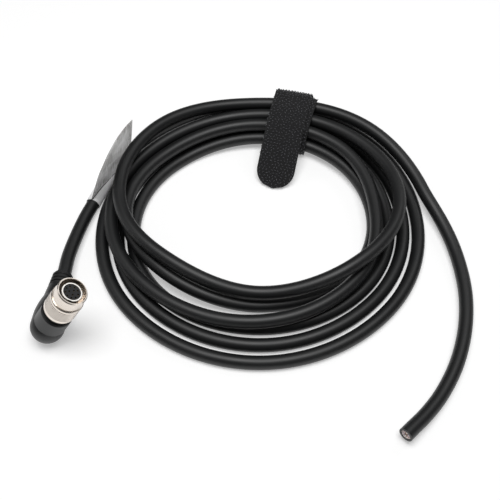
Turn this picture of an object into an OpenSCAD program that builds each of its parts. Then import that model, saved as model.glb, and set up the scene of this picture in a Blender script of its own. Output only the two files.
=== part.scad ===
// Instrument cable: an angled 12-way push-pull plug, a coiled shielded cable, its tie and flag label.
// Millimetres. +Z is up and the floor is z = 0. The origin is under the middle of the plug.

/* [Cable] */
// Diameter of the cable's jacket
cable_d = 6.6; // [5.5:0.1:8]
// Wall of the jacket
jacket_wall = 1.0; // [0.6:0.1:1.4]
// Diameter of one insulated core
core_d = 0.95; // [0.7:0.05:1.1]
// Diameter of the copper in one core
strand_d = 0.5; // [0.3:0.05:0.6]
// Length of the opened cross-section at the cut end
cut_len = 5; // [3:0.5:10]

/* [Coil] */
// Half width of the innermost turn
oval_a = 59; // [57:0.5:72]
// Half depth of the innermost turn
oval_b = 53.5; // [52:0.5:66]
// Space between turns that lie side by side
turn_gap = 0.45; // [0.45:0.05:1.2]

/* [Plug] */
// Outer diameter of the coupling sleeve at its mouth
sleeve_d = 13.5; // [12.8:0.1:16]
// How far the sleeve's knurled grip stands out, on the radius
grip_rise = 0.6; // [0.2:0.1:1]
// Length of the coupling sleeve
sleeve_len = 16.7; // [15.5:0.1:20]
// Wall of the coupling sleeve at its mouth
sleeve_wall = 0.75; // [0.5:0.05:0.9]
// How far the sleeve is pulled back to unlock
sleeve_travel = 1.5; // [1:0.1:2.2]
// Outer diameter of the mating barrel
barrel_d = 9.4; // [9.2:0.1:9.8]
// Wall of the mating barrel
barrel_wall = 0.75; // [0.6:0.05:0.85]
// How far the barrel's face lies behind the mouth of the sleeve
barrel_sink = 0.9; // [0.3:0.1:2]
// Diameter of the circle of the outer contacts
outer_pcd = 5.7; // [5.5:0.1:6]
// Diameter of the circle of the inner contacts
inner_pcd = 2.4; // [2.2:0.1:2.8]
// Diameter of the entry hole of one contact
entry_d = 0.8; // [0.6:0.05:1]
// Outer diameter of one contact
contact_d = 1.1; // [0.9:0.05:1.2]

/* [Elbow] */
// Diameter of the elbow's round knuckle
knuckle_d = 15.6; // [15:0.1:20]
// Diameter of the arm that holds the plug, at its top
arm_d = 14.6; // [14.2:0.1:15]
// Length of that arm, from the middle of the knuckle
arm_len = 13; // [12:0.1:18]
// Wall of the elbow's housing
housing_wall = 1.6; // [1.2:0.1:2]
// Outer diameter of the ribbed strain relief
relief_d = 10.6; // [9.8:0.1:13]
// Length of the ribbed part of the strain relief
relief_len = 8; // [6:0.5:14]
// Number of ribs on the strain relief
rib_count = 4; // [2:1:6]
// Diameter of the collar under the sleeve
collar_d = 12.2; // [12:0.1:14]
// Height of the collar above the arm
collar_rise = 1.1; // [0.6:0.1:2]
// Roll of the plug away from upright
plug_lean = 30; // [20:0.5:50]
// Turn of the elbow from the +Y direction towards +X
elbow_heading = 5.2; // [-10:0.1:15]
// How far the cable's arm dips towards the floor
elbow_dip = 5; // [0:0.5:6]

/* [Tie and label] */
// Width of the tie
tie_w = 20; // [12:0.5:25]
// Thickness of the tie's hook layer
hook_t = 0.6; // [0.4:0.1:1]
// Thickness of the tie's loop layer
loop_t = 0.9; // [0.6:0.1:1.4]
// Length of the tie's free tongue
tongue_len = 35; // [30:1:45]
// Height of the flag above the cable
label_h = 34; // [15:1:40]

/* [Hidden] */
$fn = 64;

// The plug: heights along its own axis, from the elbow's axis
fit = 0.05;              // side clearance of pieces that are pressed or slid together
run = 0.08;              // side clearance of the sleeve's running surfaces
seat = 0.1;              // end clearance between pieces that stand against each other
knuckle_r = knuckle_d / 2;
collar_top = arm_len + collar_rise;
sleeve_base = collar_top + sleeve_travel + 2 * seat;
sleeve_mouth = sleeve_base + sleeve_len;
sleeve_bore = sleeve_d / 2 - sleeve_wall;
barrel_r = barrel_d / 2;
barrel_neck_r = barrel_r - 0.25;
barrel_bore = barrel_r - barrel_wall;
barrel_face = sleeve_mouth - barrel_sink;
barrel_land = 6.5;       // length of the barrel that a receptacle slides over
key_len = 3;             // of the barrel's keyways, which end before the middle of that length
key_depth = 0.35;
mouth_chamfer = 0.35;    // at the mouth of the sleeve
mouth_edge = 0.5;        // length of that chamfer
grip_end = 10.4;         // top of the sleeve's knurled grip, from the sleeve's base
lip_len = 0.9;           // inward lip at the sleeve's base
shell_r = barrel_r + 0.5;
shell_wall = 1;
shell_foot = knuckle_r - housing_wall - 2;
shell_top = sleeve_base + 2.4;
ring_t = 0.6;            // thickness of the snap ring
ring_groove = 0.3;       // depth of its groove in the back shell
shoulder_at = shell_top + 3.6;
shoulder_len = 1;
spring_wire = 0.5;
spring_turns = 3;
spring_r = (barrel_neck_r + sleeve_bore) / 2;
insert_r = barrel_bore - fit;
insert_face = barrel_face - 0.3;
insert_split = insert_face - 7;
insert_foot = insert_split - 5;
insert_ring_t = 0.8;
barrel_foot = shell_top - 2.8;
contact_face = insert_face - 0.8;
contact_foot = insert_foot - 2.4;
contact_bore = 0.28;

// The elbow: places along its own axis, from the plug's axis towards the cable
knuckle_back = 0.5;      // how far the knuckle's round end is centred behind the plug's axis
knuckle_end = 5;
shoulder_end = knuckle_end + 9.5;
neck_r = 5.9;
relief_r = relief_d / 2;
neck_end = shoulder_end + 6.3;
relief_tip = neck_end + relief_len;
relief_root = neck_end - 4;
arm_edge = 0.5;          // chamfer at the top of the plug's arm
rib_depth = 0.9;
cable_r = cable_d / 2;
relief_wall = 0.6;       // of the strain relief round the cable, inside the housing
relief_root_r = cable_r + relief_wall;
cable_root = shoulder_end + 1;
// The shoulder between the knuckle and the neck, as [radius, place] from the wide end
shoulder = [for (k = [0 : 6]) let (t = k / 6)
    [knuckle_r - (knuckle_r - neck_r) * pow(t, 1.6), knuckle_end + (shoulder_end - knuckle_end) * t]];
// Directions of the cable's arm and of the plug
arm_axis = [sin(elbow_heading) * cos(elbow_dip), cos(elbow_heading) * cos(elbow_dip), -sin(elbow_dip)];
side_axis = [cos(elbow_heading), -sin(elbow_heading), 0];
plug_axis = sin(plug_lean) * side_axis + cos(plug_lean) * cross(side_axis, arm_axis);
// The origin lies under the middle of the plug, so its corners give the place of its axis
function reach(along, radius, axis, i) = along * axis[i] + radius * sqrt(1 - axis[i] * axis[i]);
plug_right = max(reach(sleeve_mouth, sleeve_d / 2 - mouth_chamfer, plug_axis, 0),
    reach(sleeve_mouth - mouth_edge, sleeve_d / 2, plug_axis, 0));
plug_far = reach(relief_tip, relief_r - rib_depth, arm_axis, 1);
plug_height = max([for (p = shoulder) p[1] * sin(elbow_dip) + p[0] * cos(elbow_dip)]);
plug_at = [-(plug_right - knuckle_r - knuckle_back * arm_axis[0]) / 2,
    -(plug_far - knuckle_r - knuckle_back * arm_axis[1]) / 2, plug_height];

// The coil: one row for each loop, as [lane, level] at eight stations 45 degrees apart, clockwise from 135.
// A lane counts turns outwards from the innermost one, and a level counts turns upwards from the floor.
pitch = cable_d + turn_gap;
flat = cable_d / 10;     // what the floor cuts off the lowest turns
tie_lift = 0.37;         // level of the lowest turns where the tie passes under them
loops = [
    [[2.95, 0], [2.78, tie_lift], [2.85, tie_lift], [3, 0], [3.65, 0], [4.1, 0], [3.6, 0], [2.6, 0]],
    [[1.9, 0], [1.75, tie_lift], [1.8, tie_lift], [1.95, 0], [2.48, 0], [2.85, 0], [2.4, 0], [1.5, 0]],
    [[0.88, 0], [0.75, tie_lift], [0.8, tie_lift], [0.92, 0], [1.42, 0], [1.6, 0], [1.35, 0], [0.4, 0]],
    [[-0.15, 0], [-0.28, tie_lift], [-0.24, tie_lift], [-0.12, 0], [0.1, 0], [-0.1, 0], [0.3, 1], [0.95, 1]],
    [[0.4, 1], [0.25, 1.27], [0.3, 1.27], [-0.1, 1.1], [0.9, 1.1], [1.7, 1.05], [1.9, 1.05], [2, 1]],
    [[1.5, 1], [1.28, 1.27], [1.38, 1.7], [1.5, 2.1], [0.45, 2.2], [-0.4, 1.15], [-0.2, 1.95], [1.3, 2.15]],
    [[2.15, 2.1], [2.36, 1.42], [3.05, 1.55], [4.15, 0.5]]];
coil_in = [3.5, 0];      // the station before the first one
coil_out = [7, 0];       // the station after the last one
coil_at = [29.4 + oval_a, 2.6 + oval_b];    // so the oval's left and near sides stay as it grows
station_step = 45;
coil_start = 32;         // degrees clockwise from the left side
coil_end = 6 * 360 + 172;
coil_rings = 24;         // rings in one loop
coil_sides = 6;

// The free stretches, as points on the floor chosen by hand
lead_points = [[-3.85, 30, 4.75], [-2.1, 41, 4.05], [0.7, 52.9, 3.75], [3.7, 62.1, 3.7],
    [8.5, 75.1, 3.7], [14.7, 87.8, 3.7]];
// The tail's points are measured from the oval's right side
tail_points = [for (p = [[33.5, -6, 4.6], [37.5, -21.5, 3.45], [39, -39, 3.35], [38, -54, 3.35],
    [34.5, -69.5, 3.35], [28.5, -84.5, 3.35], [20.5, -97.7, 3.4], [12.5, -107.3, 4.2], [5.6, -114, 5.3]])
    [coil_at[0] + oval_a + p[0], coil_at[1] + p[1], p[2]]];
free_sides = 10;
ring_step = 14;          // about two diameters between the rings of a free stretch

// The tie and the label
tie_angle = 75;          // where the tie holds the coil, degrees from +X
tie_gap = 0.35;          // space between the tie and the turns
tie_t = hook_t + loop_t;
tie_begin = 60;          // way that the strap's hidden end faces, degrees from the coil's outward direction
tongue_bend = 12;        // how much the free tongue droops along its length, degrees
label_t = 0.25;
label_gap = 0.15;
label_ring = 5;          // place of the label's near edge in lead_path
label_lean = [6, 3.5, 1.5];  // how far the flag's top leans at its three sections

// ---- Sweeps ------------------------------------------------------------------------------------
function unit(v) = v / norm(v);
function spline(a, b, c, d, t) =
    (2 * b + (c - a) * t + (2 * a - 5 * b + 4 * c - d) * t * t + (3 * b - a - 3 * c + d) * t * t * t) / 2;

// The direction of a path at its point i
function heading(path, i) = unit(path[min(i + 1, len(path) - 1)] - path[max(i - 1, 0)]);

// A smooth path through points, about step apart
function smooth(points, step) = let (last = len(points) - 1) concat(
    [for (i = [0 : last - 1])
        let (a = points[max(i - 1, 0)], b = points[i], c = points[i + 1], d = points[min(i + 2, last)],
            parts = max(1, round(norm(c - b) / step)))
        for (k = [0 : parts - 1]) spline(a, b, c, d, k / parts)],
    [points[last]]);

// One ring of a tube, square to the path
function ring(path, i, radius, sides) =
    let (along = heading(path, i), side = unit(cross(along, [0, 0, 1])), up = cross(side, along))
    [for (k = [0 : sides - 1]) let (turn = 90 + k * 360 / sides)
        path[i] + radius * (cos(turn) * side + sin(turn) * up)];

// A closed skin over a row of rings, with triangles for faces
module skin(rings) {
    sides = len(rings[0]);
    last = (len(rings) - 1) * sides;
    walls = [for (i = [0 : len(rings) - 2], k = [0 : sides - 1])
        let (a = i * sides + k, b = i * sides + (k + 1) % sides)
        each [[a, b, b + sides], [a, b + sides, a + sides]]];
    first_cap = [for (k = [1 : sides - 2]) [0, k + 1, k]];
    last_cap = [for (k = [1 : sides - 2]) [last, last + k, last + k + 1]];
    polyhedron(points = [for (r = rings) each r], faces = concat(walls, first_cap, last_cap), convexity = 10);
}
module tube(path, radius, sides) skin([for (i = [0 : len(path) - 1]) ring(path, i, radius, sides)]);

// A thin sheet between two grids of points that face each other
module sheet(front, back) {
    rows = len(front);
    cols = len(front[0]);
    n = rows * cols;
    // the two faces
    faces = [for (i = [0 : rows - 2], k = [0 : cols - 2]) let (a = i * cols + k, d = a + cols + 1)
        each [[a, a + 1, d], [a, d, d - 1], [n + a, n + d, n + a + 1], [n + a, n + d - 1, n + d]]];
    // the edge, as a closed row of points round the grid
    border = concat([for (k = [0 : cols - 2]) k], [for (i = [0 : rows - 2]) i * cols + cols - 1],
        [for (k = [cols - 1 : -1 : 1]) (rows - 1) * cols + k], [for (i = [rows - 1 : -1 : 1]) i * cols]);
    edge = [for (j = [0 : len(border) - 1]) let (a = border[j], b = border[(j + 1) % len(border)])
        each [[b, a, n + a], [b, n + a, n + b]]];
    polyhedron(points = concat([for (r = front) each r], [for (r = back) each r]),
        faces = concat(faces, edge), convexity = 10);
}

// ---- The coil's route --------------------------------------------------------------------------
stations = concat([coil_in], [for (row = loops) each row], [coil_out]);
function station(i) = stations[max(0, min(i, len(stations) - 1))];

// Lane and level after so many degrees of travel
function place(travel) = let (k = floor(travel / station_step), t = travel / station_step - k)
    spline(station(k - 1), station(k), station(k + 1), station(k + 2), t);
function coil_point(travel) = let (p = place(travel), lane = p[0] * pitch, turn = 180 - travel)
    [coil_at[0] + (oval_a + lane) * cos(turn), coil_at[1] + (oval_b + lane) * sin(turn),
        cable_r - flat + max(p[1], 0) * pitch];

coil_steps = round((coil_end - coil_start) * coil_rings / 360);
coil_body = [for (i = [0 : coil_steps]) coil_point(coil_start + i * (coil_end - coil_start) / coil_steps)];
coil_first = coil_body[0] - cable_d * heading(coil_body, 0);
coil_last = coil_body[coil_steps] + cable_d * heading(coil_body, coil_steps);
coil_path = concat([coil_first], coil_body, [coil_last]);

// The least distance between two turns, over points more than a third of a loop apart
apart = coil_rings / 3;
turn_spacing = min([for (i = [0 : coil_steps], j = [i + apart : coil_steps]) norm(coil_body[i] - coil_body[j])]);
echo(least_gap_between_turns = turn_spacing - cable_d);

function path_length(path) = len(path) < 2 ? 0
    : [for (i = 1, s = norm(path[1] - path[0]); i < len(path); i = i + 1,
        s = s + (i < len(path) ? norm(path[i] - path[i - 1]) : 0)) s][len(path) - 2];

// ---- The free stretches ------------------------------------------------------------------------
// A point in the elbow's frame, at a place along its axis
function on_elbow(along) = plug_at + along * arm_axis;
lead_path = concat([on_elbow(relief_tip)], smooth(concat([on_elbow(relief_tip + cable_r)], lead_points,
    [coil_first - cable_r * heading(coil_body, 0)]), ring_step), [coil_first]);
tail_path = concat([coil_last], smooth(concat([coil_last + cable_r * heading(coil_body, coil_steps)],
    tail_points), ring_step));
tail_last = len(tail_path) - 1;
tail_heading = heading(tail_path, tail_last);
echo(cable_length = path_length(lead_path) + path_length(coil_path) + path_length(tail_path) + cut_len
    + relief_tip - cable_root);

// ---- Placing -----------------------------------------------------------------------------------
module in_arms() translate(plug_at) rotate([0, 0, -elbow_heading]) rotate([-elbow_dip, 0, 0]) children();
module in_plug() in_arms() rotate([0, plug_lean, 0]) children();
module in_elbow() in_arms() rotate([-90, 0, 0]) children();
module at_cut() translate(tail_path[tail_last])
    rotate([0, 90 - asin(tail_heading[2]), atan2(tail_heading[1], tail_heading[0])]) children();
module in_tie() translate([coil_at[0] + oval_a * cos(tie_angle), coil_at[1] + oval_b * sin(tie_angle), 0])
    rotate([90, 0, tie_angle]) children();
module pipe(outer, inner, length) difference() {
    cylinder(r = outer, h = length);
    translate([0, 0, -1]) cylinder(r = inner, h = length + 2);
}
// The places of the 12 contacts: nine round the outside and three in the middle
module at_contacts() {
    for (k = [0 : 8]) rotate(k * 40) translate([outer_pcd / 2, 0, 0]) children();
    for (k = [0 : 2]) rotate(60 + k * 120) translate([inner_pcd / 2, 0, 0]) children();
}
function contact_xy(k) = k < 9 ? outer_pcd / 2 * [cos(k * 40), sin(k * 40)]
    : inner_pcd / 2 * [cos(60 + k * 120), sin(60 + k * 120)];

// ---- The elbow ---------------------------------------------------------------------------------
// Outline of the knuckle and the cable's arm, revolved round the arm's axis
module arm_outline(shrink) polygon(concat(
    [for (k = [0 : 12]) let (t = k * 7.5 - 90)
        [(knuckle_r - shrink) * cos(t), (knuckle_r - shrink) * sin(t) - knuckle_back]],
    [for (p = shoulder) [p[0] - shrink, p[1]]],
    [[relief_r - shrink, neck_end], [0, neck_end]]));

module elbow_housing() color("#1d1e20") {
    difference() {
        union() {
            in_elbow() rotate_extrude() arm_outline(0);
            in_plug() rotate_extrude() polygon([[0, 0], [arm_d / 2, 0], [arm_d / 2, arm_len - arm_edge],
                [arm_d / 2 - arm_edge, arm_len], [collar_d / 2, arm_len], [collar_d / 2, collar_top],
                [0, collar_top]]);
        }
        in_elbow() intersection() {
            rotate_extrude() arm_outline(housing_wall);
            translate([0, 0, -knuckle_r]) cylinder(r = knuckle_r, h = knuckle_r + relief_root - 2);
        }
        in_elbow() cylinder(r = relief_root_r + fit, h = neck_end + 1);
        in_plug() cylinder(r = shell_r + fit, h = collar_top + 1);
    }
}

module strain_relief() color("#18191b") in_elbow() {
    rib_step = relief_len / rib_count;
    groove_r = relief_r - rib_depth;
    rotate_extrude() polygon(concat(
        [[cable_r + fit, relief_root], [relief_root_r, relief_root], [relief_root_r, neck_end + seat]],
        [for (k = [0 : rib_count - 1]) let (y = neck_end + seat + k * rib_step, r = relief_r - 0.12 * k)
            each [[r - 0.2, y], [r, y + 0.25], [r, y + rib_step * 0.5], [r - 0.2, y + rib_step * 0.6],
                [groove_r, y + rib_step * 0.6], [groove_r, y + rib_step - (k == rib_count - 1 ? seat : 0)]]],
        [[cable_r + fit, relief_tip]]));
}

module crimp_ferrule() color("#b9b6ae") in_elbow()
    translate([0, 0, cable_root + 0.2]) pipe(relief_root_r - 0.2, cable_r + fit, relief_root - cable_root - 0.4);

module cable_entry() color("#202124") in_elbow()
    translate([0, 0, cable_root]) cylinder(r = cable_r, h = relief_tip - cable_root);

// ---- The plug ----------------------------------------------------------------------------------
module back_shell() color("#c9c1b6") in_plug() difference() {
    translate([0, 0, shell_foot]) cylinder(r = shell_r, h = shell_top - shell_foot);
    translate([0, 0, shell_foot - 1]) cylinder(r = shell_r - shell_wall, h = shell_top - shell_foot + 2);
    translate([0, 0, sleeve_base + lip_len + seat])
        pipe(shell_r + 1, shell_r - ring_groove, ring_t + 2 * seat);
}

module snap_ring() color("#9a9a98") in_plug() difference() {
    translate([0, 0, sleeve_base + lip_len + 2 * seat])
        pipe(sleeve_bore - run, shell_r - ring_groove + fit, ring_t);
    translate([0, -0.6, sleeve_base]) cube([sleeve_d, 1.2, 4]);
}

module coupling_sleeve() color("#d8cfc6") in_plug() {
    grip_r = sleeve_d / 2 + grip_rise;
    grip_grooves = [2.4, 3.4, 4.4, 5.4, 6.4, 7.4, 8.4];
    rotate_extrude() polygon(concat(
        [[shell_r + run, sleeve_base], [grip_r - 0.5, sleeve_base], [grip_r, sleeve_base + 0.5]],
        [for (g = grip_grooves) let (y = sleeve_base + g)
            each [[grip_r, y], [grip_r - 0.15, y + 0.15], [grip_r - 0.15, y + 0.35], [grip_r, y + 0.5]]],
        [[grip_r, sleeve_base + grip_end - 0.3], [grip_r - 0.3, sleeve_base + grip_end],
            [sleeve_d / 2, sleeve_base + grip_end], [sleeve_d / 2, sleeve_mouth - mouth_edge],
            [sleeve_d / 2 - mouth_chamfer, sleeve_mouth],
            [sleeve_bore + 0.1, sleeve_mouth], [sleeve_bore, sleeve_mouth - 0.2],
            [sleeve_bore, shoulder_at + shoulder_len], [barrel_neck_r + run, shoulder_at + shoulder_len],
            [barrel_neck_r + run, shoulder_at], [sleeve_bore, shoulder_at],
            [sleeve_bore, sleeve_base + lip_len], [shell_r + run, sleeve_base + lip_len]]));
}

module coupling_spring() color("#a8a6a0") in_plug() {
    turn_steps = 12;
    low = shell_top + seat + spring_wire / 2;
    high = shoulder_at - seat - spring_wire / 2;
    steps = spring_turns * turn_steps;
    tube([for (i = [0 : steps])
        [spring_r * cos(i * 360 / turn_steps), spring_r * sin(i * 360 / turn_steps),
            low + (high - low) * i / steps]], spring_wire / 2, 6);
}

module plug_barrel() color("#cfc7bd") in_plug() difference() {
    rotate_extrude() polygon([
        [barrel_bore, barrel_foot], [shell_r - shell_wall - fit, barrel_foot],
        [shell_r - shell_wall - fit, shell_top + seat], [barrel_neck_r, shell_top + seat],
        [barrel_neck_r, barrel_face - barrel_land], [barrel_r, barrel_face - barrel_land],
        [barrel_r, barrel_face - 0.2], [barrel_r - 0.2, barrel_face], [barrel_bore, barrel_face]]);
    // Keyways: one wide and two narrow
    for (key = [[-90, 1.6], [35, 1], [145, 1]]) rotate(key[0])
        translate([barrel_r - key_depth, -key[1] / 2, barrel_face - key_len]) cube([2, key[1], key_len + 1]);
}

module lock_claws() color("#b5b1a8") in_plug()
    for (k = [0 : 2]) rotate(30 + k * 120) intersection() {
        translate([0, 0, barrel_face - barrel_land - 1.9]) rotate_extrude() polygon([
            [barrel_neck_r + fit, 0], [barrel_neck_r + 0.45, 0], [barrel_neck_r + 0.45, 1], [barrel_neck_r + fit, 1.6]]);
        translate([0, -1, 0]) cube([sleeve_d, 2, sleeve_mouth]);
    }

module front_insert() color("#1b1c20") in_plug() difference() {
    translate([0, 0, insert_split]) cylinder(r = insert_r, h = insert_face - insert_split);
    at_contacts() translate([0, 0, insert_split - 1])
        cylinder(d = contact_d + 2 * fit, h = contact_face + fit - insert_split + 1);
    at_contacts() translate([0, 0, insert_split]) cylinder(d = entry_d, h = 10);
}

module rear_insert() color("#2a2b30") in_plug() difference() {
    translate([0, 0, insert_foot]) cylinder(r = insert_r, h = insert_split - insert_foot);
    at_contacts() translate([0, 0, insert_foot - 1]) cylinder(d = contact_d + 2 * fit, h = 8);
}

module insert_ring() color("#a9a7a2") in_plug() difference() {
    translate([0, 0, insert_foot - seat - insert_ring_t]) pipe(insert_r, insert_r - 0.45, insert_ring_t);
    translate([0, -0.7, 0]) cube([sleeve_d, 1.4, sleeve_mouth]);
}

module contact_sockets() color("#d8b35c") in_plug() at_contacts() difference() {
    translate([0, 0, contact_foot]) cylinder(d = contact_d, h = contact_face - contact_foot);
    translate([0, 0, contact_face - 4]) cylinder(r = contact_bore, h = 5);
}

// Each core runs from the cable's end round the corner to its contact
wire_r = core_d * 0.4;
wire_spread = (cable_r - jacket_wall - 2 * wire_r) / (outer_pcd / 2);
// A point on the plug's side, turned into the elbow's frame
function leaned(p) = [p[0] * cos(plug_lean) + p[2] * sin(plug_lean), p[1],
    p[2] * cos(plug_lean) - p[0] * sin(plug_lean)];
function wire_route(xy) = smooth([
    leaned([xy[0], xy[1], contact_foot - seat]),
    leaned([xy[0], xy[1], contact_foot - seat - 1.5]),
    leaned([xy[0] * 0.8, xy[1] * 0.5 + 1.5, 2.2 - xy[1] * 0.8]),
    [xy[0] * wire_spread * 0.9, shoulder_end - 3.2, -xy[1] * wire_spread * 0.9],
    [xy[0] * wire_spread, cable_root - seat - 1, -xy[1] * wire_spread],
    [xy[0] * wire_spread, cable_root - seat, -xy[1] * wire_spread]], 3);
module core_wires() color("#a03c30") in_arms()
    for (k = [0 : 11]) tube(wire_route(contact_xy(k)), wire_r, 6);

// ---- The cable ---------------------------------------------------------------------------------
// Cuts off what would lie below the floor
module above_floor() difference() {
    children();
    translate([coil_at[0] - 2 * oval_a, coil_at[1] - 2 * oval_b, -2 * cable_d])
        cube([4 * oval_a, 4 * oval_b, 2 * cable_d]);
}
module cable_lead() color("#202124") above_floor() tube(lead_path, cable_r, free_sides);
module cable_coil() color("#202124") above_floor() tube(coil_path, cable_r, coil_sides);

module cable_tail() color("#202124") tube(tail_path, cable_r, free_sides);

// The cut end, from the outside in
wrap_r = cable_r - jacket_wall;
braid_t = 0.3;
wrap_t = 0.15;
bundle_r = wrap_r - braid_t - wrap_t;
module end_jacket() color("#202124") at_cut() pipe(cable_r, wrap_r, cut_len);
module end_braid() color("#b98a66") at_cut() pipe(wrap_r, wrap_r - braid_t, cut_len - 0.3);
module end_wrap() color("#e9e4de") at_cut() pipe(wrap_r - braid_t, bundle_r, cut_len - 0.1);
module at_cores() {
    for (k = [0 : 5]) rotate(k * 60) translate([bundle_r - core_d / 2 - 0.05, 0, 0]) children();
}
module end_cores() color("#c9a08c") at_cut() at_cores() pipe(core_d / 2, strand_d / 2, cut_len - 0.2);
module end_strands() color("#c47a4a") at_cut() at_cores() cylinder(d = strand_d, h = cut_len);
module end_filler() color("#ece8e2") at_cut() cylinder(r = bundle_r - core_d - 0.15, h = cut_len - 0.4);

// ---- The tie and the label ---------------------------------------------------------------------
tie_turn = atan2(sin(tie_angle) / oval_b, cos(tie_angle) / oval_a);
tie_out = [cos(tie_turn), sin(tie_turn)];
tie_at = [coil_at[0] + oval_a * cos(tie_angle), coil_at[1] + oval_b * sin(tie_angle)];
tie_reach = asin(tie_w / 2 / oval_b);
// The turns that the tie holds, as [outwards, up] at its edges and its middle
held = [for (k = [0 : 6], off = [-1, -0.5, 0, 0.5, 1])
    let (p = coil_point(180 - tie_angle + off * tie_reach + 360 * k))
    [(p[0] - tie_at[0]) * tie_out[0] + (p[1] - tie_at[1]) * tie_out[1], p[2]]];
function facing(turn) = [cos(turn), sin(turn)];
function farthest(n) = let (reach = max([for (h = held) h * n])) [for (h = held) if (h * n > reach - 0.001) h][0];
// The strap goes once round, climbs over its own hidden end and leaves over the coil's inner side
function strap_rise(turn) = cable_r + tie_gap
    + (tie_t + seat) * (1 - cos(180 * min(max((turn - 310) / 90, 0), 1))) / 2;
leave_z = farthest(facing(110))[1] + (cable_r + tie_gap + tie_t + seat) * 0.95;
tie_leave = 450 + asin(leave_z / tongue_len) - tongue_bend / 2;
tongue_r = tongue_len / tongue_bend * 180 / PI;
leave_at = farthest(facing(tie_leave)) + (strap_rise(tie_leave) - tongue_r) * facing(tie_leave);
function strap_point(turn, depth) = turn > tie_leave ? leave_at + (tongue_r + depth) * facing(turn)
    : farthest(facing(turn)) + (strap_rise(turn) + depth) * facing(turn);
strap_turns = concat([for (turn = [tie_begin : 10 : tie_leave]) turn],
    [for (k = [0 : 6]) tie_leave + 0.01 + tongue_bend * k / 6]);
tongue_tip = strap_point(tie_leave + tongue_bend, 0);

// One layer of the strap, from one depth to another, with its free end rounded
module strap_layer(low, high) translate(tie_at) rotate(tie_turn) intersection() {
    rotate([90, 0, 0]) linear_extrude(height = tie_w, center = true) polygon(concat(
        [for (turn = strap_turns) strap_point(turn, low)],
        [for (k = [len(strap_turns) - 1 : -1 : 0]) strap_point(strap_turns[k], high)]));
    union() {
        translate([tongue_tip[0] + tie_w / 2, 0, 0]) cylinder(d = tie_w, h = 60);
        translate([tongue_tip[0] + tie_w / 2, -tie_w, 0]) cube([100, 2 * tie_w, 60]);
    }
}
module tie_loop_layer() color("#222223") strap_layer(0, loop_t);
module tie_hook_layer() color("#1a1a1b") strap_layer(loop_t, tie_t);

// The label is one sheet that goes round the cable and stands up from it as a flag
label_turns = concat([84], [for (k = [0 : 8]) 54 - k * 36]);
flag_levels = 4;
// One section of the sheet: its inner face at depth 0 and its outer face at label_t
function label_section(k, depth) =
    let (i = label_ring + k, along = heading(lead_path, i), side = unit(cross(along, [0, 0, 1])),
        up = cross(side, along), r = cable_r + label_gap)
    concat([for (turn = label_turns) lead_path[i] + (r + depth) * (cos(turn) * side + sin(turn) * up)],
        [for (level = [0 : flag_levels]) let (t = level / flag_levels)
            lead_path[i] + (r + 2 * label_t + label_h * t) * up
            + (label_lean[k] * t * t + label_t / 2 - depth) * side]);
module flag_label() color("#e4e5e7") sheet([for (k = [0 : 2]) label_section(k, 0)],
    [for (k = [0 : 2]) label_section(k, label_t)]);

elbow_housing();
strain_relief();
back_shell();
plug_barrel();
coupling_sleeve();
coupling_spring();
snap_ring();
lock_claws();
front_insert();
rear_insert();
insert_ring();
contact_sockets();
core_wires();
crimp_ferrule();
cable_entry();
cable_lead();
cable_coil();
cable_tail();
end_jacket();
end_braid();
end_wrap();
end_cores();
end_strands();
end_filler();
tie_hook_layer();
tie_loop_layer();
flag_label();
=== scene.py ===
# %% [markdown]
# # Instrument cable
# A multi-core lead with an angled push-pull plug, coiled, tied and cut bare at its far end.
# The metal and moulded pieces of the plug come from the CAD frame and get finishes here.
# The soft pieces, which are the cable, its tie and its flag label, are built here on their real routes.

# %% Frame and numbers
import bpy
import math
from mathutils import Vector, Matrix


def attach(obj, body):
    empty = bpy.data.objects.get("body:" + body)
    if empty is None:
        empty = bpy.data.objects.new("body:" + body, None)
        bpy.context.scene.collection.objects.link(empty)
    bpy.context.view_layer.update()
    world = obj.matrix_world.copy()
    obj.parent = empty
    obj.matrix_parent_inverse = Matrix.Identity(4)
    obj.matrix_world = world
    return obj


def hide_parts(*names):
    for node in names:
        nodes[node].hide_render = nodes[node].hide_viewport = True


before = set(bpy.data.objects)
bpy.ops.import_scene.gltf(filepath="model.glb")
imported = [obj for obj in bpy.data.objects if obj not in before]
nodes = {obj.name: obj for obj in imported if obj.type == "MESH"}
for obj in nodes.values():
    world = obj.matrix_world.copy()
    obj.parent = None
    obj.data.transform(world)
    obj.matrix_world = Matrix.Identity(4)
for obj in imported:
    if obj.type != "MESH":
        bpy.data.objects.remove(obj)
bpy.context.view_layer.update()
MM = 0.001
TABLE_GAP = 0.02  # mm: the least height of a soft piece's points over the table

# %% [markdown]
# ## Camera
# The lens sees the coil from 55 degrees above the floor, from about 0.39 m away.
# A camera that near shows the far side of the coil a little smaller than the near side.

# %% Camera
ELEVATION = math.radians(55)
LENS = 56
NEAREST = 0.01
AIM = Vector((84.4, 37.1, 0)) * MM
DISTANCE = 386.1 * MM
camera = bpy.data.objects.new("camera", bpy.data.cameras.new("camera"))
bpy.context.scene.collection.objects.link(camera)
camera.data.lens = LENS
camera.data.clip_start = NEAREST
camera.location = AIM + DISTANCE * Vector((0, -math.cos(ELEVATION), math.sin(ELEVATION)))
camera.rotation_euler = (math.pi / 2 - ELEVATION, 0, 0)
bpy.context.scene.camera = camera
bpy.context.scene.view_settings.view_transform = "Standard"
print("camera at", [round(v, 3) for v in camera.location])

# %% [markdown]
# ## The route of the cable
# A coil on a table is not a stack of rings: each turn finds its own lane, beside or on the ones below.
# So the route is a table of stations, eight to a loop, each with a lane (turns outwards) and a level (turns
# up). A Catmull-Rom curve through the stations gives every turn its easy wander, with no kinks.

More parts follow.
